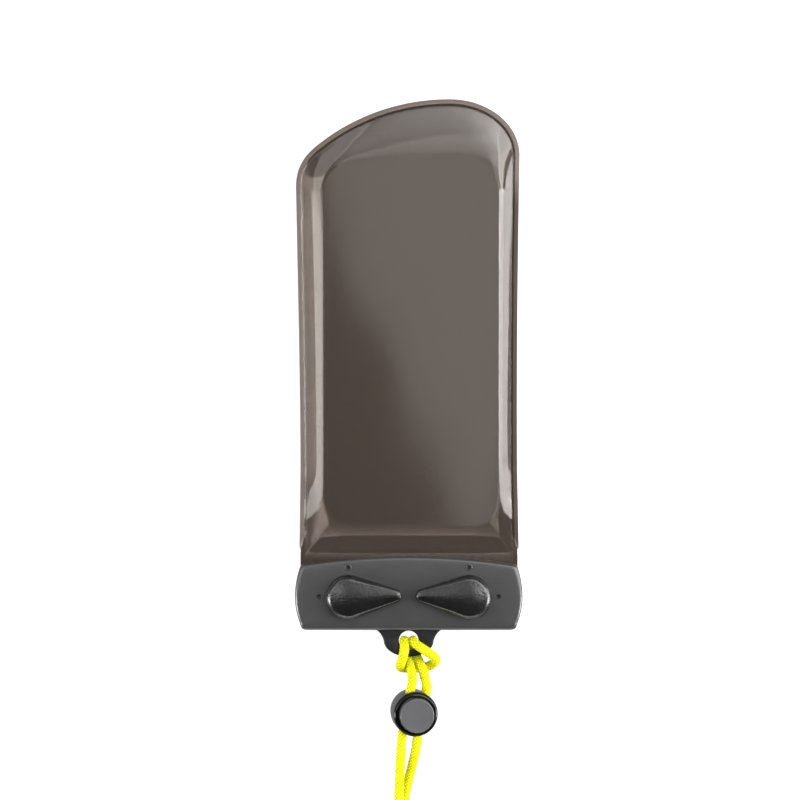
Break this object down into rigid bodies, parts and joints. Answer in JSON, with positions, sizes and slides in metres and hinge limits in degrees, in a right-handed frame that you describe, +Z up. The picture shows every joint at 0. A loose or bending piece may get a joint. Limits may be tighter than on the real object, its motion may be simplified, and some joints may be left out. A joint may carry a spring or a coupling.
{
  "type": "waterproof phone pouch",
  "caption": "Flat clear-fronted film pouch for a phone, its mouth clamped by a two-lever clip, with a doubled cord lanyard and a sprung cord lock.",
  "frame": {"origin": "below the middle of the pouch and clip, on the surface that the pouch lies on", "axes": "+X to the pouch's right, +Y towards its closed, curved end, +Z up, out of its clear front"},
  "size_m": [0.1047, 0.3825, 0.0209],
  "materials": {
    "clear_film": "clear soft film, glossy",
    "smoke_film": "smoke-brown soft film, glossy",
    "back_jaw_plastic": "dark moulded, matt",
    "front_jaw_plastic": "mid grey moulded, satin",
    "lever_plastic": "dark grey, fine spark texture",
    "steel": "bright stainless",
    "lock_plastic": "black, polished",
    "button_plastic": "mid grey, satin",
    "cord": "fluorescent yellow braid"
  },
  "bodies": {
    "pouch": {"back_film": "smoke_film", "front_film": "clear_film", "back_jaw": "back_jaw_plastic", "lock_body": "lock_plastic", "lock_spring": "steel", "lanyard_hitch": "cord", "lanyard_left_strand": "cord", "lanyard_right_strand": "cord", "lanyard_coil": "cord", "lanyard_knot": "cord"},
    "front_jaw": {"front_jaw": "front_jaw_plastic"},
    "lever_left": {"lever_left": "lever_plastic", "cam_pin_left": "steel"},
    "lever_right": {"lever_right": "lever_plastic", "cam_pin_right": "steel"},
    "lock_button": {"lock_button": "button_plastic"}
  },
  "joints": [
    {"name": "front_jaw_lift", "type": "slide", "parent": "pouch", "child": "front_jaw", "axis": [0, 0, 1], "range_m": [0, 0.0015]},
    {"name": "lever_left_turn", "type": "hinge", "parent": "front_jaw", "child": "lever_left", "pos_m": [-0.02695, -0.0978, 0.017], "axis": [0, 0, 1], "range_deg": [-90, 0]},
    {"name": "lever_right_turn", "type": "hinge", "parent": "front_jaw", "child": "lever_right", "pos_m": [0.02695, -0.0978, 0.017], "axis": [0, 0, 1], "range_deg": [0, 90]},
    {"name": "lock_button_press", "type": "slide", "parent": "pouch", "child": "lock_button", "axis": [-0.1538, 0.0288, -0.9877], "range_m": [0, 0.0025], "stiffness_N_per_m": 500, "springref_m": -0.005, "deforming": ["lock_spring"]}
  ],
  "couplings": [
    {"joint": "front_jaw_lift", "follows": "lever_left_turn", "m_per_rad": -0.00095},
    {"joint": "lever_right_turn", "follows": "lever_left_turn", "ratio": -1}
  ]
}
